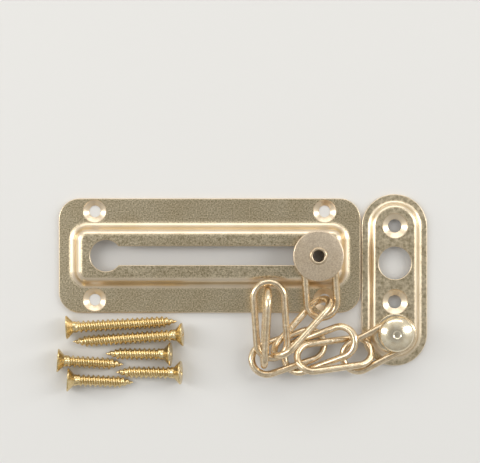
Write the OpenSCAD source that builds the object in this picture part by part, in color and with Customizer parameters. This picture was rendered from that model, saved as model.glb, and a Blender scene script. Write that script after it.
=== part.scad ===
// Door chain guard: a pressed keyhole track plate, a slider that runs in it, an eight-link
// chain, and a jamb plate with the stud that holds the chain's other end, laid out flat with
// the wood screws that fix it.
// The origin is the centre of the track plate on its back face; +Z points away from the door.

/* [Track plate] */
// Length of the track plate
plate_length = 86.6; // [80:0.2:110]
// Width of the track plate
plate_width = 32.8; // [31:0.2:40]
// Radius of the track plate's corners
plate_corner = 6; // [4:0.5:8]
// Thickness of both pressed plates
sheet = 1.2; // [1:0.1:1.2]
// Height of the raised track above the flange
track_rise = 3.4; // [3.2:0.1:4.5]
// Length of the flat on top of the raised track
track_flat_length = 71.8; // [71:0.2:74]
// Width of the flat on top of the raised track
track_flat_width = 10.9; // [10.5:0.1:11.5]
// Width of the curved wall round the raised track
track_wall = 4.7; // [4.5:0.1:5]
// Width of the slot
slot_width = 5.4; // [5.2:0.1:6]
// Diameter of the keyhole's entry hole
keyhole_d = 9; // [9:0.1:9.6]
// Distance from the plate's centre to the keyhole, toward -X
keyhole_x = 29.5; // [28:0.5:30]
// Distance from the plate's centre to the closed end of the slot, toward +X
slot_end_x = 30.8; // [29:0.1:31]

/* [Screw holes] */
// Spacing of the track plate's screw holes along its length
hole_spacing_x = 66; // [60:0.5:70]
// Spacing of the track plate's screw holes across its width
hole_spacing_y = 25.4; // [25:0.1:26]
// Diameter of the track plate's screw holes
hole_d = 3.4; // [3:0.1:3.8]
// Diameter of the countersinks in the track plate
countersink_d = 6.6; // [6:0.1:7]
// Spacing of the jamb plate's two screw holes
jamb_hole_spacing = 21.7; // [20:0.1:23]
// Diameter of the jamb plate's screw holes
jamb_hole_d = 3.8; // [3.4:0.1:4]
// Diameter of the countersinks in the jamb plate
jamb_countersink_d = 7.2; // [6.6:0.1:7.6]

/* [Jamb plate] */
// Length of the jamb plate
jamb_length = 49.2; // [46:0.2:54]
// Width of the jamb plate
jamb_width = 18.8; // [18:0.2:20]
// Height of the jamb plate's raised middle above its flange
jamb_rise = 1.8; // [1.5:0.1:1.8]
// Width of the flat on top of the raised middle
jamb_flat_width = 10.8; // [10.4:0.2:11.2]
// Width of the sloping wall round the raised middle
jamb_wall = 2.6; // [2.6:0.1:2.8]
// Diameter of the large hole that parks the slider
parking_hole_d = 9.4; // [9.2:0.1:10]

/* [Slider] */
// Diameter of the slider's outer disc
head_d = 14.4; // [13:0.2:16]
// Thickness of the slider's outer disc
head_thickness = 1.2; // [1:0.1:1.6]
// Diameter of the neck in the slot and of the waist that the first link goes round
neck_d = 4.9; // [4.6:0.1:5]
// Diameter of the foot that holds the slider behind the plate
foot_d = 8.4; // [8:0.1:8.6]
// Thickness of the foot
foot_thickness = 1.2; // [1:0.1:1.3]
// Diameter of the collar that rides on the raised track
collar_d = 8.6; // [8:0.1:9]
// Thickness of the collar
collar_thickness = 0.7; // [0.6:0.1:0.8]
// Height of the waist between collar and disc
waist_height = 3.2; // [3:0.1:3.6]
// Outer diameter of the tubular rivet
rivet_d = 4.1; // [3.9:0.1:4.1]
// Bore of the tubular rivet
rivet_bore_d = 3.2; // [2.8:0.1:3.2]

/* [Stud] */
// Diameter of the stud's domed head
dome_d = 10; // [9:0.2:11]
// Height of the stud's domed head
dome_height = 2.5; // [2:0.1:3]
// Diameter of the stud's neck
stud_neck_d = 5.2; // [4.8:0.1:5.4]
// Height of the neck between washer and head
stud_neck_height = 3; // [2.8:0.1:3.4]
// Diameter of the washer under the stud
washer_d = 11.2; // [10.6:0.2:11.6]
// Thickness of the washer
washer_thickness = 0.8; // [0.5:0.1:0.9]

/* [Chain] */
// Diameter of the chain's wire
wire_d = 2; // [1.8:0.1:2]
// Outer length of a link
link_length = 23.6; // [23:0.1:24]
// Outer width of a link
link_width = 10.6; // [10:0.1:11]

/* [Screws] */
// Length of the long screws, 1-1/4 inch
long_screw_length = 31.8; // [25:0.1:32]
// Length of the short screws, 3/4 inch
short_screw_length = 19; // [16:0.1:20]
// Diameter of the screws' flat heads
screw_head_d = 6.7; // [6:0.1:7]
// Outer diameter of the thread
thread_d = 3.5; // [3.3:0.1:3.7]
// Core diameter of the thread
core_d = 2.4; // [2.2:0.1:2.6]
// Distance between the turns of the thread
thread_pitch = 1.4; // [1.2:0.1:1.6]

/* [Hidden] */
$fn = 64;

// A cut runs this far past the face it opens
past = 1;
// Straight rim left at the bottom of a countersink
countersink_land = 0.3;
// A pressed wall stops this far short of where its last arc would run out flat
foot_trim = 0.4;
track_flat_corner = 1;

plate_gap = 0.3;
jamb_x = plate_length / 2 + plate_gap + jamb_width / 2;
jamb_y = -7;
jamb_end = (jamb_length - jamb_width) / 2;
stud_y = jamb_y - jamb_end;
jamb_top = sheet + jamb_rise;
jamb_hole_y = jamb_y + jamb_end + 0.3;
parking_y = jamb_y + 4.9;
// The hollow behind the raised middle has straight sides this far from its centre line
jamb_pocket_r = jamb_flat_width / 2 + 0.2;

track_top = sheet + track_rise;
slider_gap = 0.3;
foot_top = track_rise - slider_gap;
foot_bottom = foot_top - foot_thickness;
collar_bottom = track_top + slider_gap;
waist_bottom = collar_bottom + collar_thickness;
head_bottom = waist_bottom + waist_height;
head_top = head_bottom + head_thickness;
rivet_lip = 0.4;
rivet_lip_d = 4.9;
rivet_flange_d = 5.6;
rivet_flange = 0.6;

washer_top = jamb_top + washer_thickness;
dome_bottom = washer_top + stud_neck_height;
stud_shank_d = 4;
stud_tail_d = 6.4;
stud_tail = 0.8;
dimple_radius = 3;
dimple_depth = 0.35;

screw_head_height = 2;
screw_plain = 0.6;
screw_tip = 4;
screw_point_d = 0.4;
recess_length = 3.4;
recess_width = 0.8;
recess_depth = 1.1;

// Where each link lies: centre, then heading, climb and roll in degrees. Heading is the way
// from the slider's end of the link to the stud's end.
LINKS = [
    [31.5, -6.9, 6, 274, -8, -1],
    [26.1, -20.1, 7.6, 227, 12, 65],
    [17.3, -18.2, 7.1, 94, 4, -2],
    [16, -20.4, 6.3, 267, -8, 87],
    [22.4, -27.5, 3.3, 18, -10, -9],
    [31.3, -26.7, 4.3, 202, -16, 10],
    [35.5, -28, 5.6, 7, -10, -30],
    [48, -25.5, 4.9, 28, 4, 1]
];

// Where each screw lies: centre of the head's face, then the heading of its point
LONG_SCREWS = [[-41, -20.5, 3], [-7.6, -22.5, 184]];
SHORT_SCREWS = [[-11, -28.1, 180], [-43.5, -29.9, -4], [-8.1, -33.4, 180], [-40.7, -35.4, -3]];

// Angle and radius of the two equal arcs that make an S-shaped wall this wide and this high
function wall_angle(run, rise) = 2 * atan(rise / run);
function wall_radius(run, rise) = run / 2 / sin(wall_angle(run, rise));

// Half-section under a pressed wall: flat out to `flat`, then down an S of two arcs to `low`.
// `inset` moves the face inward all along, which gives the underside of the sheet, and
// `base` carries the section below zero so that it cuts through.
module wall_section(flat, run, rise, low, inset, base) {
    a = wall_angle(run, rise);
    r = wall_radius(run, rise);
    mid_u = flat + (r - inset) * sin(a);
    mid_z = low + rise - r + (r - inset) * cos(a);
    translate([0, -base])
        square([flat, base + low + rise - inset]);
    intersection() {
        translate([flat, low + rise - r])
            circle(r - inset);
        translate([flat, mid_z])
            square([mid_u - flat, r]);
    }
    difference() {
        translate([0, -base])
            square([flat + run - foot_trim, base + mid_z]);
        translate([flat + run, low + r])
            circle(r + inset);
    }
}

// A wall section swept round a flat of `length` by `width` with corners of radius `corner`
module pressed_hill(length, width, corner, run, rise, inset = 0, base = 0) {
    x = length / 2 - corner;
    y = width / 2 - corner;
    for (sx = [-1, 1])
        for (sy = [-1, 1])
            translate([sx * x, sy * y, 0])
                rotate_extrude()
                    wall_section(corner, run, rise, sheet, inset, base);
    for (a = [0, 180])
        rotate([0, 0, a]) {
            translate([-x, y, 0])
                rotate([90, 0, 90])
                    linear_extrude(2 * x)
                        wall_section(corner, run, rise, sheet, inset, base);
            translate([x, y, 0])
                rotate([90, 0, 0])
                    linear_extrude(2 * y)
                        wall_section(corner, run, rise, sheet, inset, base);
        }
    translate([-x, -y, -base])
        cube([2 * x, 2 * y, base + sheet + rise - inset]);
}

module rounded_slab(length, width, corner, thickness) {
    x = length / 2 - corner;
    y = width / 2 - corner;
    linear_extrude(thickness) {
        square([2 * x, width], center = true);
        square([length, 2 * y], center = true);
        for (sx = [-1, 1])
            for (sy = [-1, 1])
                translate([sx * x, sy * y])
                    circle(corner);
    }
}

// A screw hole with its countersink, cut down from a face at height `top`
module countersunk_hole(d, cone_d, top) {
    translate([0, 0, top - sheet - past])
        cylinder(d = d, h = sheet + 2 * past);
    translate([0, 0, top - sheet + countersink_land])
        cylinder(d1 = d, d2 = cone_d, h = sheet - countersink_land);
    translate([0, 0, top])
        cylinder(d = cone_d, h = past);
}

module keyhole_slot() {
    length = slot_end_x + keyhole_x;
    translate([-keyhole_x, 0, -past])
        cylinder(d = keyhole_d, h = track_top + 2 * past);
    translate([-keyhole_x, -slot_width / 2, -past])
        cube([length, slot_width, track_top + 2 * past]);
    translate([slot_end_x, 0, -past])
        cylinder(d = slot_width, h = track_top + 2 * past);
}

module track_plate() {
    color("darkkhaki")
        difference() {
            union() {
                rounded_slab(plate_length, plate_width, plate_corner, sheet);
                pressed_hill(track_flat_length, track_flat_width, track_flat_corner, track_wall, track_rise);
            }
            pressed_hill(track_flat_length, track_flat_width, track_flat_corner, track_wall, track_rise,
                inset = sheet, base = past);
            keyhole_slot();
            for (sx = [-1, 1])
                for (sy = [-1, 1])
                    translate([sx * hole_spacing_x / 2, sy * hole_spacing_y / 2, 0])
                        countersunk_hole(hole_d, countersink_d, sheet);
        }
}

// Everything within `r` of the line between the jamb plate's two round ends
module jamb_stadium(r, height) {
    linear_extrude(height) {
        square([2 * r, 2 * jamb_end], center = true);
        for (side = [-1, 1])
            translate([0, side * jamb_end])
                circle(r);
    }
}

// Raised middle with sloping walls, `jamb_wall` wider at its foot all round than at its flat
module jamb_hill() {
    flat_r = jamb_flat_width / 2;
    foot_r = flat_r + jamb_wall;
    translate([0, 0, sheet]) {
        for (side = [-1, 1])
            translate([0, side * jamb_end, 0])
                cylinder(r1 = foot_r, r2 = flat_r, h = jamb_rise);
        rotate([90, 0, 0])
            translate([0, 0, -jamb_end])
                linear_extrude(2 * jamb_end)
                    polygon([[-foot_r, 0], [foot_r, 0], [flat_r, jamb_rise], [-flat_r, jamb_rise]]);
    }
}

module jamb_plate() {
    color("darkkhaki")
        difference() {
            translate([jamb_x, jamb_y, 0]) {
                jamb_stadium(jamb_width / 2, sheet);
                jamb_hill();
            }
            translate([jamb_x, jamb_y, -past])
                jamb_stadium(jamb_pocket_r, past + jamb_rise);
            for (y = [jamb_hole_y, jamb_hole_y - jamb_hole_spacing])
                translate([jamb_x, y, 0])
                    countersunk_hole(jamb_hole_d, jamb_countersink_d, jamb_top);
            translate([jamb_x, parking_y, -past])
                cylinder(d = parking_hole_d, h = jamb_top + 2 * past);
            translate([jamb_x, stud_y, -past])
                cylinder(d = stud_shank_d, h = jamb_top + 2 * past);
        }
}

// Shouldered rivet with a domed head; its tail is hammered out behind the jamb plate
module jamb_stud() {
    dome_radius = (pow(dome_d / 2, 2) + pow(dome_height, 2)) / (2 * dome_height);
    tail_top = jamb_top - sheet;
    color("wheat")
        translate([jamb_x, stud_y, 0]) {
            translate([0, 0, tail_top - stud_tail])
                cylinder(d = stud_tail_d, h = stud_tail);
            translate([0, 0, tail_top])
                cylinder(d = stud_shank_d, h = washer_top - tail_top);
            translate([0, 0, washer_top])
                cylinder(d = stud_neck_d, h = stud_neck_height);
            difference() {
                intersection() {
                    translate([0, 0, dome_bottom])
                        cylinder(d = dome_d, h = dome_height);
                    translate([0, 0, dome_bottom + dome_height - dome_radius])
                        sphere(dome_radius);
                }
                translate([0, 0, dome_bottom + dome_height + dimple_radius - dimple_depth])
                    sphere(dimple_radius);
            }
        }
}

module stud_washer() {
    color("darkkhaki")
        translate([jamb_x, stud_y, jamb_top])
            difference() {
                cylinder(d = washer_d, h = washer_thickness);
                translate([0, 0, -past])
                    cylinder(d = stud_shank_d, h = washer_thickness + 2 * past);
            }
}

module on_slider(height) {
    translate([slot_end_x, 0, height])
        children();
}

module rivet_hole() {
    translate([0, 0, -past])
        cylinder(d = rivet_d, h = head_top + 2 * past);
}

module slider_foot() {
    color("goldenrod")
        on_slider(foot_bottom)
            difference() {
                union() {
                    cylinder(d = foot_d, h = foot_thickness);
                    cylinder(d = neck_d, h = collar_bottom - foot_bottom);
                }
                rivet_hole();
            }
}

module slider_collar() {
    color("goldenrod")
        on_slider(collar_bottom)
            difference() {
                union() {
                    cylinder(d = collar_d, h = collar_thickness);
                    cylinder(d = neck_d, h = collar_thickness + waist_height);
                }
                rivet_hole();
            }
}

module slider_head() {
    color("tan")
        on_slider(head_bottom)
            difference() {
                rotate_extrude() {
                    square([(head_d - head_thickness) / 2, head_thickness]);
                    translate([(head_d - head_thickness) / 2, head_thickness / 2])
                        circle(d = head_thickness);
                }
                rivet_hole();
            }
}

// Tubular rivet through the slider, flared below the foot and rolled over on the disc
module slider_rivet() {
    bottom = foot_bottom - rivet_flange;
    length = head_top + rivet_lip - bottom;
    color("wheat")
        on_slider(bottom)
            difference() {
                union() {
                    cylinder(d = rivet_flange_d, h = rivet_flange);
                    cylinder(d = rivet_d, h = length);
                    translate([0, 0, length - rivet_lip])
                        cylinder(d1 = rivet_lip_d, d2 = rivet_lip_d - rivet_lip, h = rivet_lip);
                }
                translate([0, 0, -past])
                    cylinder(d = rivet_bore_d, h = length + 2 * past);
            }
}

// A welded wire loop lying flat, its long way along X
module wire_link() {
    bend = (link_width - wire_d) / 2;
    leg = link_length - link_width;
    for (a = [0, 180])
        rotate([0, 0, a]) {
            translate([leg / 2, 0, 0])
                rotate([0, 0, -90])
                    rotate_extrude(angle = 180)
                        translate([bend, 0])
                            circle(d = wire_d);
            translate([-leg / 2, bend, 0])
                rotate([0, 90, 0])
                    cylinder(d = wire_d, h = leg);
        }
}

module chain_link(number) {
    pose = LINKS[number - 1];
    color("gold")
        translate([pose[0], pose[1], pose[2]])
            rotate([pose[5], -pose[4], pose[3]])
                wire_link();
}

// Flat-head wood screw pointing up, the face of its head at zero
module wood_screw(length) {
    neck = screw_head_height + screw_plain;
    turns = floor((length - neck - screw_tip) / thread_pitch);
    difference() {
        cylinder(d1 = screw_head_d, d2 = core_d, h = screw_head_height);
        for (a = [0, 90])
            rotate([0, 0, a])
                translate([-recess_length / 2, -recess_width / 2, -past])
                    cube([recess_length, recess_width, past + recess_depth]);
    }
    translate([0, 0, screw_head_height])
        cylinder(d = core_d, h = length - screw_head_height - screw_tip);
    for (i = [0 : turns - 1])
        translate([0, 0, neck + i * thread_pitch])
            thread_ridge();
    translate([0, 0, length - screw_tip])
        cylinder(d1 = core_d, d2 = screw_point_d, h = screw_tip);
}

module thread_ridge() {
    cylinder(d1 = core_d, d2 = thread_d, h = thread_pitch / 2);
    translate([0, 0, thread_pitch / 2])
        cylinder(d1 = thread_d, d2 = core_d, h = thread_pitch / 2);
}

// A screw lying on the floor, on the rim of its head and the end of its thread
module lying_screw(place, length) {
    lean = atan((screw_head_d - thread_d) / 2 / (length - screw_tip - thread_pitch / 2));
    color("gold")
        translate([place[0], place[1], screw_head_d / 2 * cos(lean)])
            rotate([0, 90 + lean, place[2]])
                wood_screw(length);
}

track_plate();
jamb_plate();
jamb_stud();
stud_washer();
slider_foot();
slider_collar();
slider_head();
slider_rivet();
for (number = [1 : 8])
    chain_link(number);
for (number = [1 : 2])
    lying_screw(LONG_SCREWS[number - 1], long_screw_length);
for (number = [1 : 4])
    lying_screw(SHORT_SCREWS[number - 1], short_screw_length);
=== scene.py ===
"""Brass door chain guard, laid out flat: track plate with its slider, eight chain links,
jamb plate with its stud, and six loose screws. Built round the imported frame, in metres."""

import math

import bmesh
import bpy
import numpy as np
from mathutils import Matrix, Vector


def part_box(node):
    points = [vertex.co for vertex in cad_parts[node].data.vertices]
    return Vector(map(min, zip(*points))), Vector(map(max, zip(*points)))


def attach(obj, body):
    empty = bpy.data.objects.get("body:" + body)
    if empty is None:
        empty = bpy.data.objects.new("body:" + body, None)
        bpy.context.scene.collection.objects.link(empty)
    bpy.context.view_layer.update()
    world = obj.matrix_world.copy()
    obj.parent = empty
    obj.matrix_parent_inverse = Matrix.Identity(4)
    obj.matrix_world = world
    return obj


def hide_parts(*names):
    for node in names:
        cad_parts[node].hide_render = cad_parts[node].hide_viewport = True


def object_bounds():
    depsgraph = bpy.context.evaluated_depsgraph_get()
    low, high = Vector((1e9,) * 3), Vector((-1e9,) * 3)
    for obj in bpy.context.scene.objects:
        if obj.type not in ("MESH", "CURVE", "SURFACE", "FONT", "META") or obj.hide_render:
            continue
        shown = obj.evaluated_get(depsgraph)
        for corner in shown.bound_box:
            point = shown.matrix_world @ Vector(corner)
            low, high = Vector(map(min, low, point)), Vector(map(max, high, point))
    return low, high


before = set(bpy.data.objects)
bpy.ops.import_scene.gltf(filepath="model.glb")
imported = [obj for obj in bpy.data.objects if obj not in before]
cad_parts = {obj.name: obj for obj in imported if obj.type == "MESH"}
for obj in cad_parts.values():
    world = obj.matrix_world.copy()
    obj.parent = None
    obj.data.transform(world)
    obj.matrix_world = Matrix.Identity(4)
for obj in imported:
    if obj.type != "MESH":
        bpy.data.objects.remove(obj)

CAD_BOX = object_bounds()
MM = 0.001

# Pressed plates, millimetres
SHEET = 1.2
RIM_ROUND = 0.28
EDGE_ROUND = 0.22
TRACK_CORNER = 6.0
TRACK_FLAT = (71.8, 10.9)
TRACK_FLAT_CORNER = 1.0
TRACK_WALL = 4.7
TRACK_HOLES = (33.0, 12.7)
TRACK_HOLE_R = 1.7
TRACK_SINK_R = 3.2
SLOT_R = 2.7
SLOT_END_X = 30.8
KEYHOLE_R = 4.5
KEYHOLE_X = -29.5
JAMB_FLAT_R = 5.25
JAMB_WALL = 2.75
# Half the width of the straight left between the two quarter rounds of each end
JAMB_END_FLAT = 0.05
JAMB_HOLE_OFFSETS = (15.5, -6.2)
JAMB_HOLE_R = 1.9
JAMB_SINK_R = 3.5
PARKING_OFFSET = 4.9
PARKING_R = 4.7
STUD_SHANK_R = 2.0
DIMPLE_R = 1.3
DIMPLE_SOFT = 0.5
DIMPLE_DEPTH = 0.22

# Chain wire and links, millimetres
WIRE_R = 1.0
LINK_BEND_R = 4.3
LINK_HALF_STRAIGHT = 6.5
WELD_BULGE = 0.04
WELD_HALF_WIDTH = 0.28
# Which leg of each link carries the weld, and how far along it
WELDS = [(-1, 1.0), (-1, 1.5), (-1, -2.0), (1, 0.5), (1, 2.0), (-1, -1.0), (1, 0.0), (1, 4.0)]

# Wood screws, millimetres
HEAD_R = 3.35
HEAD_HEIGHT = 2.0
THREAD_R = 1.75
CORE_R = 1.2
PITCH = 1.4
POINT_LENGTH = 4.0
PLAIN_SHANK = 0.6
HEAD_ROUND = 0.12
SHANK_R = THREAD_R - 0.1
RUN_OUT = 0.1
# Cross recess: length, width and depth
RECESS = (3.4, 0.8, 1.1)
# Degrees that the first screw is turned about itself, and each one from the one before
FIRST_SPIN = 20
SPIN_STEP = {"long": 299, "short": 322}

# Slider and stud, millimetres
RIVET_R = 2.05
RIVET_BORE_R = 1.6
RIVET_LIP_R = 2.45
RIVET_LIP = 0.4
RIVET_FLANGE = 0.6
RIVET_ROUND = 0.15
HEAD_DISC_ROUND = 0.35
HEAD_DISC_CROWN = 0.08
WASHER_ROUND = 0.25
WASHER_HOLE_R = 2.02
STUD_NECK_R = 2.6
STUD_TAIL = (3.2, 0.8)
WASHER_TOP = 3.8
DOME_HEIGHT = 2.5
DOME_RIM = 0.4

# Edges bent by more than this many degrees stay crisp
SHARP_ANGLE = 38.0


# ---------------------------------------------------------------- meshes

def finish_mesh(name, bm, sharp=SHARP_ANGLE):
    """Turns a bmesh in millimetres into a smooth-shaded object in metres."""
    bmesh.ops.recalc_face_normals(bm, faces=bm.faces)
    if bm.calc_volume(signed=True) < 0:
        bmesh.ops.reverse_faces(bm, faces=bm.faces)
    bmesh.ops.scale(bm, vec=(MM, MM, MM), verts=bm.verts)
    mesh = bpy.data.meshes.new(name)
    bm.to_mesh(mesh)
    bm.free()
    mesh.shade_smooth()
    mesh.set_sharp_from_angle(angle=math.radians(sharp))
    obj = bpy.data.objects.new(name, mesh)
    bpy.context.scene.collection.objects.link(obj)
    return obj


def place(obj, body, slot, material, *nodes):
    """Gives a piece its body, its finish and the CAD nodes it stands for."""
    obj.data.materials.clear()
    obj.data.materials.append(material)
    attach(obj, body)
    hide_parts(*nodes)
    return obj


def ring(bm, outline, z):
    return [bm.verts.new((x, y, z)) for x, y in outline]


def strip(bm, low, high):
    """Quads between two closed rings with the same number of points."""
    count = len(low)
    for i in range(count):
        j = (i + 1) % count
        bm.faces.new((low[i], low[j], high[j], high[i]))


def rounded_outline(length, width, corner, steps=14):
    """Anticlockwise outline of a rounded rectangle about the origin."""
    points = []
    corners = ((1, 1, 0), (-1, 1, 90), (-1, -1, 180), (1, -1, 270))
    for sx, sy, start in corners:
        cx, cy = sx * (length / 2 - corner), sy * (width / 2 - corner)
        for k in range(steps + 1):
            a = math.radians(start + 90 * k / steps)
            points.append((cx + corner * math.cos(a), cy + corner * math.sin(a)))
    return points


def keyhole_outline(grow):
    """Slot with a round end at the slider's side and the wide entry hole at the other."""
    slot, hole = SLOT_R + grow, KEYHOLE_R + grow
    meet = math.asin(slot / hole)
    points = []
    for k in range(25):
        a = math.radians(-90 + 180 * k / 24)
        points.append((SLOT_END_X + slot * math.cos(a), slot * math.sin(a)))
    for k in range(49):
        a = meet + (2 * math.pi - 2 * meet) * k / 48
        points.append((KEYHOLE_X + hole * math.cos(a), hole * math.sin(a)))
    return points


def circle_outline(radius, steps=48):
    return [(radius * math.cos(2 * math.pi * k / steps), radius * math.sin(2 * math.pi * k / steps))
            for k in range(steps)]


def quarter(radius, steps=4):
    """Points of a quarter round: how far in from the edge and how far down from the face."""
    turns = [math.pi / 2 * k / steps for k in range(steps + 1)]
    return [(radius * (1 - math.cos(t)), radius * (1 - math.sin(t))) for t in turns]


def wall_profile(run, rise, depth, steps=7):
    """S-shaped wall from its foot to its shoulder: outset and height of a skin `depth` below."""
    turn = 2 * math.atan(rise / run)
    radius = run / 2 / math.sin(turn)
    points = []
    for k in range(steps + 1):
        t = turn * k / steps
        reach = (radius + depth) * math.sin(t)
        points.append((run - reach, radius - (radius + depth) * math.cos(t)))
    for k in range(1, steps + 1):
        t = turn * (1 - k / steps)
        reach = (radius - depth) * math.sin(t)
        points.append((reach, rise - radius + (radius - depth) * math.cos(t)))
    return points


def skin(bm, size, corner, flat, flat_corner, run, rise, depth, steps):
    """One side of a pressed plate, from the edge of its flange to its raised middle."""
    edge = 0.0 if depth else RIM_ROUND
    rings = []
    outer = (size[0] - 2 * edge, size[1] - 2 * edge, corner - edge)
    rings.append(ring(bm, rounded_outline(*outer, steps), SHEET - depth))
    for outset, height in wall_profile(run, rise, depth):
        outline = rounded_outline(flat[0] + 2 * outset, flat[1] + 2 * outset,
                                  flat_corner + outset, steps)
        rings.append(ring(bm, outline, SHEET + height))
    for low, high in zip(rings, rings[1:]):
        strip(bm, low, high)
    bm.faces.new(rings[-1])
    return rings[0]


def pressed_plate(size, corner, flat, flat_corner, run, rise, steps=14):
    """Closed solid of a pressed plate: both skins and the rounded rim between them."""
    bm = bmesh.new()
    top = skin(bm, size, corner, flat, flat_corner, run, rise, 0.0, steps)
    under = skin(bm, size, corner, flat, flat_corner, run, rise, SHEET, steps)
    rim = [under]
    for inset, drop in quarter(RIM_ROUND)[:-1]:
        outline = rounded_outline(size[0] - 2 * inset, size[1] - 2 * inset, corner - inset, steps)
        rim.append(ring(bm, outline, SHEET - drop))
    rim.append(top)
    for low, high in zip(rim, rim[1:]):
        strip(bm, low, high)
    return bm


def cutter(name, outline_at, bottom, top, flare):
    """Closed prism that cuts a hole and rounds its upper and lower edges."""
    bm = bmesh.new()
    rings = [ring(bm, outline_at(flare), bottom - 1), ring(bm, outline_at(flare), bottom)]
    for inset, drop in quarter(flare)[1:]:
        rings.append(ring(bm, outline_at(flare - inset), bottom + flare - drop))
    for inset, drop in reversed(quarter(flare)[1:]):
        rings.append(ring(bm, outline_at(flare - inset), top - flare + drop))
    rings.append(ring(bm, outline_at(flare), top))
    rings.append(ring(bm, outline_at(flare), top + 1))
    for low, high in zip(rings, rings[1:]):
        strip(bm, low, high)
    bm.faces.new(rings[0])
    bm.faces.new(rings[-1])
    return finish_mesh(name, bm)


def countersink_cutter(name, x, y, hole_r, sink_r, top):
    """Closed turned shape that cuts a screw hole with its countersink."""
    land = top - SHEET + 0.3
    profile = [(hole_r, top - SHEET - 1), (hole_r, land - 0.1), (hole_r + 0.1, land),
               (sink_r - 0.12, top - 0.28), (sink_r, top - 0.12), (sink_r + 0.14, top),
               (sink_r + 0.14, top + 1)]
    bm = bmesh.new()
    rings = [ring(bm, [(x + px, y + py) for px, py in circle_outline(r)], z) for r, z in profile]
    for low, high in zip(rings, rings[1:]):
        strip(bm, low, high)
    bm.faces.new(rings[0])
    bm.faces.new(rings[-1])
    return finish_mesh(name, bm)


def cut_and_smooth(plate, cutters):
    """Cuts every hole, then keeps the flats flat and the rounded edges smooth."""
    for tool in cutters:
        cut = plate.modifiers.new("cut", "BOOLEAN")
        cut.operation = "DIFFERENCE"
        cut.solver = "EXACT"
        cut.object = tool
    bpy.context.view_layer.update()
    graph = bpy.context.evaluated_depsgraph_get()
    mesh = bpy.data.meshes.new_from_object(plate.evaluated_get(graph))
    plate.modifiers.clear()
    plate.data = mesh
    for tool in cutters:
        bpy.data.objects.remove(tool)
    mesh.shade_smooth()
    mesh.set_sharp_from_angle(angle=math.radians(SHARP_ANGLE))
    level = plate.modifiers.new("even_normals", "WEIGHTED_NORMAL")
    level.keep_sharp = True


# ---------------------------------------------------------------- turned parts

def lathe(name, profile, x, y, steps=64, closed=True):
    """Turned solid or tube: (radius, height) points swept round the upright line at x, y."""
    bm = bmesh.new()
    rings = []
    for radius, height in profile:
        if radius < 1e-6:
            rings.append([bm.verts.new((x, y, height))])
        else:
            rings.append(ring(bm, [(x + px, y + py) for px, py in circle_outline(radius, steps)],
                              height))
    pairs = list(zip(rings, rings[1:]))
    if closed:
        pairs.append((rings[-1], rings[0]))
    for low, high in pairs:
        if len(low) == 1 and len(high) == 1:
            continue
        if len(low) == 1 or len(high) == 1:
            tip, loop = (low, high) if len(low) == 1 else (high, low)
            for i in range(steps):
                bm.faces.new((tip[0], loop[i], loop[(i + 1) % steps]))
        else:
            strip(bm, low, high)
    return finish_mesh(name, bm)


def node_axis(node):
    """Middle of a CAD node in plan, its outer radius and its lowest and highest z."""
    low, high = (Vector(corner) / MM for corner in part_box(node))
    middle = (low + high) / 2
    return middle.x, middle.y, (high.x - low.x) / 2, low.z, high.z


def rounded_disc(outer, inner, bottom, top, round_r, crown=0.0):
    """Profile of a pierced disc with rounded rims and an upper face `crown` higher inside."""
    profile = [(inner, bottom), (outer - round_r, bottom)]
    for inset, drop in reversed(quarter(round_r, 5)):
        profile.append((outer - inset, bottom + drop))
    for inset, drop in quarter(round_r, 5):
        profile.append((outer - inset, top - crown - drop))
    profile.append(((outer + inner) / 2, top - crown / 3))
    profile.append((inner, top))
    return profile


# ---------------------------------------------------------------- chain links

def solid_axes(node):
    """Middle of a CAD node in millimetres and its long, wide and thin directions."""
    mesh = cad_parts[node].data
    mesh.calc_loop_triangles()
    points = np.array([v.co for v in mesh.vertices]) / MM
    corners = points[np.array([t.vertices for t in mesh.loop_triangles])]
    area = np.linalg.norm(np.cross(corners[:, 1] - corners[:, 0], corners[:, 2] - corners[:, 0]),
                          axis=1)
    middles = corners.mean(axis=1)
    centre = (middles * area[:, None]).sum(axis=0) / area.sum()
    away = middles - centre
    spread = (away * area[:, None]).T @ away
    directions = np.linalg.eigh(spread)[1].T[::-1]
    return Vector(centre), [Vector(d) for d in directions]


def pose_matrix(centre, along, across):
    """Rigid place of a piece drawn along its own X, with its flat side facing its own Z."""
    along = along.normalized()
    upright = along.cross(across).normalized()
    across = upright.cross(along)
    turn = Matrix((along, across, upright)).transposed()
    return Matrix.Translation(centre) @ turn.to_4x4()


def link_path(steps=26):
    """Points along the closed centre line of a link."""
    points = []
    for k in range(steps):
        a = math.radians(-90 + 180 * k / steps)
        points.append((LINK_HALF_STRAIGHT + LINK_BEND_R * math.cos(a), LINK_BEND_R * math.sin(a)))
    for k in range(2 * steps):
        points.append((LINK_HALF_STRAIGHT * (1 - k / steps), LINK_BEND_R))
    for k in range(steps):
        a = math.radians(90 + 180 * k / steps)
        points.append((-LINK_HALF_STRAIGHT + LINK_BEND_R * math.cos(a), LINK_BEND_R * math.sin(a)))
    for k in range(2 * steps):
        points.append((-LINK_HALF_STRAIGHT * (1 - k / steps), -LINK_BEND_R))
    return points


def wire_link(weld_side, weld_at, sides=20):
    """Bent wire with its butt weld: a small bulge round one leg."""
    bm = bmesh.new()
    path = link_path()
    count = len(path)
    rings = []
    for i, (x, y) in enumerate(path):
        before, after = path[i - 1], path[(i + 1) % count]
        heading = math.atan2(after[1] - before[1], after[0] - before[0])
        radius = WIRE_R
        if y * weld_side > 0:
            radius += WELD_BULGE * math.exp(-((x - weld_at) / WELD_HALF_WIDTH) ** 2)
        loop = []
        for k in range(sides):
            a = 2 * math.pi * k / sides
            out, up = radius * math.cos(a), radius * math.sin(a)
            loop.append(bm.verts.new((x + out * math.sin(heading), y - out * math.cos(heading), up)))
        rings.append(loop)
    for i in range(count):
        strip(bm, rings[i], rings[(i + 1) % count])
    return bm


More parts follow.
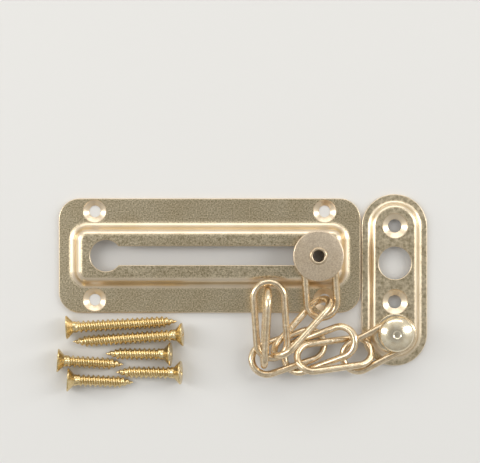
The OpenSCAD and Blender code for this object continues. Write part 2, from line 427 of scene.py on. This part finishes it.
def build_chain(materials):
    names = [f"link_{i}" for i in range(1, 9)]
    axes = {name: solid_axes(name) for name in names}
    start = Vector(node_axis("slider_rivet")[:2] + (0,))
    end = Vector(node_axis("jamb_stud")[:2] + (0,))
    middles = [start] + [axes[name][0] for name in names] + [end]
    for i, name in enumerate(names):
        centre, (along, across, _) = axes[name]
        if along.dot(middles[i + 2] - middles[i]) < 0:
            along = -along
        if along.cross(across).z < 0:
            across = -across
        bm = wire_link(*WELDS[i])
        bm.transform(pose_matrix(centre, along, across))
        link = finish_mesh(f"{name}_wire", bm)
        place(link, name, "chain_wire", materials["wire"], name)


# ---------------------------------------------------------------- screws

def screw_body(length, sides=32, rows_per_turn=16):
    """Countersunk wood screw along +X from its head's face: a cone, then a helical thread."""
    bm = bmesh.new()
    start = HEAD_HEIGHT + PLAIN_SHANK
    turned = ((0.0, HEAD_R - HEAD_ROUND), (HEAD_ROUND, HEAD_R), (0.4, HEAD_R - 0.02),
              (HEAD_HEIGHT, SHANK_R), (start, SHANK_R))
    rings = [ring_across(bm, x, radius, sides) for x, radius in turned]
    rows = int((length - start - RUN_OUT) / PITCH * rows_per_turn)
    for row in range(1, rows + 1):
        x = start + row * PITCH / rows_per_turn
        taper = min(1.0, max(0.04, (length - x) / POINT_LENGTH))
        grown = min(1.0, row / rows_per_turn)
        loop = []
        for k in range(sides):
            a = 2 * math.pi * k / sides
            phase = (x / PITCH - k / sides) % 1.0
            # The crest is a narrow flat in the middle of the turn, with sloping flanks
            ridge = min(1.0, max(0.0, 1.15 - abs(phase - 0.5) / 0.34))
            # The first turn grows out of the plain shank
            radius = CORE_R + (THREAD_R - CORE_R) * (ridge * grown + 0.75 * (1 - grown))
            radius *= taper ** 0.8
            loop.append(bm.verts.new((x, radius * math.cos(a), radius * math.sin(a))))
        rings.append(loop)
    for low, high in zip(rings, rings[1:]):
        strip(bm, low, high)
    tip = bm.verts.new((length, 0, 0))
    for i in range(sides):
        bm.faces.new((rings[-1][i], rings[-1][(i + 1) % sides], tip))
    bm.faces.new(rings[0])
    return bm


def ring_across(bm, x, radius, sides):
    return [bm.verts.new((x, py, pz)) for py, pz in circle_outline(radius, sides)]


def cross_recess():
    """Cutter for the tapered cross in a screw's head."""
    bm = bmesh.new()
    length, width, depth = RECESS
    outline = []
    for quarter_turn in range(4):
        a = math.radians(90 * quarter_turn)
        for along, side in ((width / 2, -width / 2), (length / 2, -width / 2),
                            (length / 2, width / 2)):
            outline.append((along * math.cos(a) - side * math.sin(a),
                            along * math.sin(a) + side * math.cos(a)))
    rings = []
    # Depth below the head's face, and how much of the full cross is left there
    for x, scale in ((-0.5, 1.08), (0.0, 1.0), (depth, 0.45)):
        rings.append([bm.verts.new((x, y * scale, z * scale)) for y, z in outline])
    for low, high in zip(rings, rings[1:]):
        strip(bm, low, high)
    bm.faces.new(rings[0])
    bm.faces.new(rings[-1])
    return finish_mesh("recess", bm)


def build_screws(materials):
    """Every screw turned to its CAD node's length and laid where that node lies."""
    for name in sorted(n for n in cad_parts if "screw" in n):
        centre, (along, across, _) = solid_axes(name)
        points = np.array([v.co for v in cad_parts[name].data.vertices]) / MM
        reach = (points - np.array(centre)) @ np.array(along)
        off_axis = np.linalg.norm(points - np.array(centre) - np.outer(reach, along), axis=1)
        if reach[off_axis.argmax()] > 0:
            along = -along
            reach = -reach
        head_face = centre + along * float(reach.min())
        length = float(reach.max() - reach.min())
        screw = finish_mesh(f"{name}_turned", screw_body(length), sharp=50)
        cut_and_smooth(screw, [cross_recess()])
        kind, _, number = name.split("_")
        spin = math.radians(FIRST_SPIN + SPIN_STEP[kind] * int(number))
        lies = pose_matrix(head_face, along, across) @ Matrix.Rotation(spin, 4, "X")
        screw.data.transform(Matrix.Scale(MM, 4) @ lies @ Matrix.Scale(1 / MM, 4))
        place(screw, name, "screw_brass", materials["screw"], name)


# ---------------------------------------------------------------- plates and turned pieces

def build_track_plate(materials):
    low, high = (Vector(corner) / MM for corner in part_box("track_plate"))
    size = (high.x - low.x, high.y - low.y)
    rise = high.z - SHEET
    bm = pressed_plate(size, TRACK_CORNER, TRACK_FLAT, TRACK_FLAT_CORNER, TRACK_WALL, rise)
    plate = finish_mesh("track_plate_pressing", bm)
    cutters = [cutter("slot_tool", keyhole_outline, high.z - SHEET, high.z, EDGE_ROUND)]
    for sx in (-1, 1):
        for sy in (-1, 1):
            cutters.append(countersink_cutter("hole_tool", sx * TRACK_HOLES[0],
                                              sy * TRACK_HOLES[1], TRACK_HOLE_R, TRACK_SINK_R,
                                              SHEET))
    cut_and_smooth(plate, cutters)
    place(plate, "track_plate", "pressed_plate", materials["plate"], "track_plate")


def build_jamb_plate(materials):
    low, high = (Vector(corner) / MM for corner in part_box("jamb_plate"))
    middle = (low + high) / 2
    size = (high.x - low.x, high.y - low.y)
    rise = high.z - SHEET
    reach = size[1] - size[0]
    flat = (2 * JAMB_FLAT_R, reach + 2 * JAMB_FLAT_R)
    bm = pressed_plate(size, size[0] / 2 - JAMB_END_FLAT, flat, JAMB_FLAT_R - JAMB_END_FLAT,
                       JAMB_WALL, rise, 24)
    bmesh.ops.translate(bm, vec=(middle.x, middle.y, 0), verts=bm.verts)
    plate = finish_mesh("jamb_plate_pressing", bm)

    def round_hole(y, radius):
        return lambda grow: [(middle.x + px, y + py) for px, py in circle_outline(radius + grow)]

    parking = round_hole(middle.y + PARKING_OFFSET, PARKING_R)
    shank = round_hole(node_axis("jamb_stud")[1], STUD_SHANK_R)
    cutters = [cutter("parking_tool", parking, rise, high.z, EDGE_ROUND),
               cutter("shank_tool", shank, rise, high.z, EDGE_ROUND / 4)]
    for offset in JAMB_HOLE_OFFSETS:
        cutters.append(countersink_cutter("hole_tool", middle.x, middle.y + offset, JAMB_HOLE_R,
                                          JAMB_SINK_R, high.z))
    cut_and_smooth(plate, cutters)
    place(plate, "jamb_plate", "pressed_plate", materials["jamb"], "jamb_plate")


def build_slider(materials):
    x, y, outer, bottom, top = node_axis("slider_head")
    disc = rounded_disc(outer, RIVET_R, bottom, top, HEAD_DISC_ROUND, HEAD_DISC_CROWN)
    head = lathe("slider_disc", disc, x, y, 96)
    place(head, "slider", "slider_disc", materials["disc"], "slider_head")

    x, y, outer, bottom, top = node_axis("slider_rivet")
    flange = bottom + RIVET_FLANGE
    tube = [(RIVET_BORE_R, top - 0.5), (RIVET_BORE_R, bottom + 0.3), (RIVET_BORE_R + 0.2, bottom),
            (outer - RIVET_ROUND, bottom), (outer, bottom + RIVET_ROUND),
            (outer, flange - RIVET_ROUND), (outer - RIVET_ROUND, flange),
            (RIVET_R, flange), (RIVET_R, top - RIVET_LIP), (RIVET_LIP_R, top - RIVET_LIP)]
    roll_middle = (RIVET_LIP_R + RIVET_BORE_R) / 2
    roll_half = (RIVET_LIP_R - RIVET_BORE_R) / 2
    roll_height = RIVET_LIP - 0.02
    for k in range(9):
        a = math.pi * k / 8
        tube.append((roll_middle + roll_half * math.cos(a),
                     top - roll_height + roll_height * math.sin(a)))
    rivet = lathe("slider_rivet_tube", tube, x, y, 64)
    place(rivet, "slider", "bright_brass", materials["rivet"], "slider_rivet")


def build_stud(materials):
    x, y, outer, bottom, top = node_axis("stud_washer")
    disc = rounded_disc(outer, WASHER_HOLE_R, bottom, top, WASHER_ROUND)
    washer = lathe("stud_washer_disc", disc, x, y, 72)
    place(washer, "jamb_plate", "bright_brass", materials["bright"], "stud_washer")

    x, y, outer, bottom, top = node_axis("jamb_stud")
    dome_foot = top - DOME_HEIGHT
    tail_r, tail = STUD_TAIL
    profile = [(0.0, bottom), (tail_r - 0.2, bottom), (tail_r, bottom + 0.2), (tail_r, bottom + tail),
               (STUD_SHANK_R, bottom + tail), (STUD_SHANK_R, WASHER_TOP),
               (STUD_NECK_R, WASHER_TOP), (STUD_NECK_R, dome_foot),
               (outer - 0.2, dome_foot), (outer, dome_foot + 0.25)]
    crown = DOME_HEIGHT - DOME_RIM
    rows = 30
    radii = [outer * math.cos(math.radians(90 * k / rows)) for k in range(rows)]
    # More rows where the dimple turns down
    radii += [1.2, 1.1, 1.0, 0.9, 0.8, 0.4]
    for radius in sorted(radii, reverse=True):
        dome = dome_foot + DOME_RIM + crown * math.sqrt(1 - (radius / outer) ** 2)
        edge = min(1.0, max(0.0, (DIMPLE_R - radius) / DIMPLE_SOFT))
        sunk = DIMPLE_DEPTH * edge * edge * (3 - 2 * edge)
        profile.append((radius, dome - sunk))
    profile.append((0.0, top - DIMPLE_DEPTH))
    stud = lathe("jamb_stud_dome", profile, x, y, 96, closed=False)
    place(stud, "jamb_plate", "bright_brass", materials["bright"], "jamb_stud")


# ---------------------------------------------------------------- materials

def painted_sheen_by_slope(nodes, links, speckle, smooth):
    """Speckle on level faces that gives way to the plain `smooth` colour on sloped faces, such as the
    walls where the sheet was drawn: a painted reflection of the bright surroundings.
    """
    if smooth is None:
        return speckle.outputs["Color"]
    # Faces tilted away from level get the plain colour, a painted reflection of the bright
    # surroundings
    facing = nodes.new("ShaderNodeNewGeometry")
    split = nodes.new("ShaderNodeSeparateXYZ")
    level = nodes.new("ShaderNodeMapRange")
    level.inputs["From Min"].default_value = 0.90
    level.inputs["From Max"].default_value = 0.985
    blend = nodes.new("ShaderNodeMix")
    blend.data_type = "RGBA"
    blend.inputs["A"].default_value = (*smooth, 1)
    links.new(facing.outputs["True Normal"], split.inputs["Vector"])
    links.new(split.outputs["Z"], level.inputs["Value"])
    links.new(level.outputs["Result"], blend.inputs["Factor"])
    links.new(speckle.outputs["Color"], blend.inputs["B"])
    return blend.outputs["Result"]


def brass(name, colours, roughness, grain_mm, bump, spread=0.14, smooth=None):
    """Metal with speckle between two colours, uneven gloss and a shallow grain."""
    material = bpy.data.materials.new(name)
    material.use_nodes = True
    nodes, links = material.node_tree.nodes, material.node_tree.links
    shader = nodes["Principled BSDF"]
    shader.inputs["Metallic"].default_value = 1.0
    spot = nodes.new("ShaderNodeTexCoord")

    fine = nodes.new("ShaderNodeTexNoise")
    fine.inputs["Scale"].default_value = 1 / (grain_mm * MM)
    fine.inputs["Detail"].default_value = 3.0
    fine.inputs["Roughness"].default_value = 0.65
    links.new(spot.outputs["Object"], fine.inputs["Vector"])

    broad = nodes.new("ShaderNodeTexNoise")
    broad.inputs["Scale"].default_value = 1 / (9 * MM)
    broad.inputs["Detail"].default_value = 2.0
    links.new(spot.outputs["Object"], broad.inputs["Vector"])

    ramp = nodes.new("ShaderNodeValToRGB")
    ramp.color_ramp.elements[0].position = 0.5 - spread
    ramp.color_ramp.elements[1].position = 0.5 + spread
    ramp.color_ramp.elements[0].color = (*colours[0], 1)
    ramp.color_ramp.elements[1].color = (*colours[1], 1)
    links.new(fine.outputs["Fac"], ramp.inputs["Fac"])

    tarnish = nodes.new("ShaderNodeMix")
    tarnish.data_type = "RGBA"
    tarnish.blend_type = "MULTIPLY"
    tarnish.inputs["Factor"].default_value = 0.5
    shade = nodes.new("ShaderNodeValToRGB")
    shade.color_ramp.elements[0].position = 0.35
    shade.color_ramp.elements[1].position = 0.65
    shade.color_ramp.elements[0].color = (0.86, 0.82, 0.74, 1)
    shade.color_ramp.elements[1].color = (1.0, 1.0, 1.0, 1)
    links.new(broad.outputs["Fac"], shade.inputs["Fac"])
    # On sloped faces the speckle gives way to a painted reflection colour
    links.new(painted_sheen_by_slope(nodes, links, ramp, smooth), tarnish.inputs["A"])
    links.new(shade.outputs["Color"], tarnish.inputs["B"])
    links.new(tarnish.outputs["Result"], shader.inputs["Base Color"])

    gloss = nodes.new("ShaderNodeMapRange")
    gloss.inputs["To Min"].default_value = roughness[0]
    gloss.inputs["To Max"].default_value = roughness[1]
    gloss.inputs["From Min"].default_value = 0.3
    gloss.inputs["From Max"].default_value = 0.7
    links.new(fine.outputs["Fac"], gloss.inputs["Value"])
    links.new(gloss.outputs["Result"], shader.inputs["Roughness"])

    dents = nodes.new("ShaderNodeBump")
    dents.inputs["Strength"].default_value = bump
    dents.inputs["Distance"].default_value = 0.02 * MM
    links.new(fine.outputs["Fac"], dents.inputs["Height"])
    links.new(dents.outputs["Normal"], shader.inputs["Normal"])
    return material


def build_materials():
    """Colours in order: speckle dark and light, then the painted reflection colour that sloped faces,
    such as the drawn walls, take in place of the speckle.
    """
    return {
        # The last colour of the plate and jamb entries is the painted reflection on their sloped
        # faces
        "plate": brass("plate_satin_brass", ((0.40, 0.325, 0.195), (0.86, 0.74, 0.53)),
                       (0.27, 0.38), 0.4, 0.7, 0.15, (0.86, 0.725, 0.55)),
        "jamb": brass("jamb_satin_brass", ((0.50, 0.415, 0.26), (0.90, 0.775, 0.57)),
                      (0.27, 0.38), 0.9, 0.5, 0.17, (0.88, 0.75, 0.57)),
        "disc": brass("disc_satin_brass", ((0.64, 0.51, 0.37), (0.86, 0.73, 0.56)),
                      (0.34, 0.44), 0.35, 0.6, 0.16),
        "wire": brass("wire_bright_brass", ((0.74, 0.58, 0.38), (0.89, 0.75, 0.55)),
                      (0.20, 0.28), 1.1, 0.08),
        "bright": brass("stud_bright_brass", ((0.80, 0.69, 0.50), (0.90, 0.81, 0.63)),
                        (0.16, 0.22), 1.4, 0.03),
        "rivet": brass("rivet_bright_brass", ((0.60, 0.48, 0.33), (0.76, 0.63, 0.46)),
                       (0.28, 0.36), 0.9, 0.06),
        "screw": brass("screw_golden_brass", ((0.68, 0.52, 0.26), (0.88, 0.72, 0.42)),
                       (0.18, 0.26), 0.8, 0.1),
    }


# ---------------------------------------------------------------- studio

def pale_floor():
    """Pale matt sheet that everything lies on."""
    bm = bmesh.new()
    half = 900
    level = CAD_BOX[0][2] / MM - 0.02
    corners = [bm.verts.new((x, y, level)) for x, y in
               ((-half, -half), (half, -half), (half, half), (-half, half))]
    bm.faces.new(corners)
    floor = finish_mesh("floor", bm)
    material = bpy.data.materials.new("pale_floor")
    material.use_nodes = True
    shader = material.node_tree.nodes["Principled BSDF"]
    shader.inputs["Base Color"].default_value = (0.74, 0.73, 0.71, 1)
    shader.inputs["Roughness"].default_value = 0.9
    shader.inputs["Specular IOR Level"].default_value = 0.2
    floor.data.materials.append(material)


def soft_box(name, where, size, power, colour=(1, 1, 1)):
    """Rectangular light that faces the middle of the object."""
    light = bpy.data.lights.new(name, "AREA")
    light.shape = "RECTANGLE"
    light.size, light.size_y = size
    light.energy = power
    light.color = colour
    lamp = bpy.data.objects.new(name, light)
    lamp.location = where
    aim = Vector((0.009, 0.0, 0.0)) - Vector(where)
    lamp.rotation_euler = aim.to_track_quat("-Z", "Y").to_euler()
    bpy.context.scene.collection.objects.link(lamp)


def studio_sky():
    """Dim overhead and bright near the horizon, so flats read dark and rounded edges bright."""
    world = bpy.data.worlds.new("studio")
    world.use_nodes = True
    bpy.context.scene.world = world
    nodes, links = world.node_tree.nodes, world.node_tree.links
    background = nodes["Background"]
    direction = nodes.new("ShaderNodeTexCoord")
    split = nodes.new("ShaderNodeSeparateXYZ")
    ramp = nodes.new("ShaderNodeValToRGB")
    links.new(direction.outputs["Generated"], split.inputs["Vector"])
    links.new(split.outputs["Z"], ramp.inputs["Fac"])
    stops = ((0.0, 0.62), (0.30, 0.80), (0.80, 0.86), (0.92, 0.56), (0.99, 0.36))
    elements = ramp.color_ramp.elements
    elements[0].position, elements[1].position = stops[0][0], stops[-1][0]
    for place_at, _ in stops[1:-1]:
        elements.new(place_at)
    for element, (_, level) in zip(elements, stops):
        element.color = (level, level, level * 0.98, 1)
    front = nodes.new("ShaderNodeMapRange")
    front.inputs["From Min"].default_value = -0.9
    front.inputs["From Max"].default_value = 0.3
    front.inputs["To Min"].default_value = 0.55
    front.inputs["To Max"].default_value = 1.0
    links.new(split.outputs["Y"], front.inputs["Value"])
    links.new(front.outputs["Result"], background.inputs["Strength"])
    links.new(ramp.outputs["Color"], background.inputs["Color"])


def build_studio():
    pale_floor()
    studio_sky()
    soft_box("left_box", (-0.55, 0.12, 0.42), (0.20, 0.7), 1.9)
    soft_box("right_box", (0.60, 0.16, 0.42), (0.20, 0.7), 1.8)
    soft_box("back_box", (0.0, 0.65, 0.45), (0.9, 0.22), 1.2, (1.0, 0.97, 0.92))


def build_camera():
    height, seen_width = 0.42, 0.1371
    camera = bpy.data.cameras.new("camera")
    camera.sensor_width = 36
    camera.lens = 36 * height / seen_width
    camera.clip_start = 0.01
    camera.dof.use_dof = False
    eye = bpy.data.objects.new("camera", camera)
    eye.location = (0.0087, 0.0069, height + 0.003)
    bpy.context.scene.collection.objects.link(eye)
    bpy.context.scene.camera = eye


def main():
    build_camera()
    materials = build_materials()
    build_studio()
    build_track_plate(materials)
    build_jamb_plate(materials)
    build_slider(materials)
    build_stud(materials)
    build_chain(materials)
    build_screws(materials)
    for name in ("slider_foot", "slider_collar"):
        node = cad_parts[name]
        node.data.materials.clear()
        node.data.materials.append(materials["rivet"])
    bpy.context.scene.view_settings.view_transform = "Standard"


main()
bpy.context.view_layer.update()
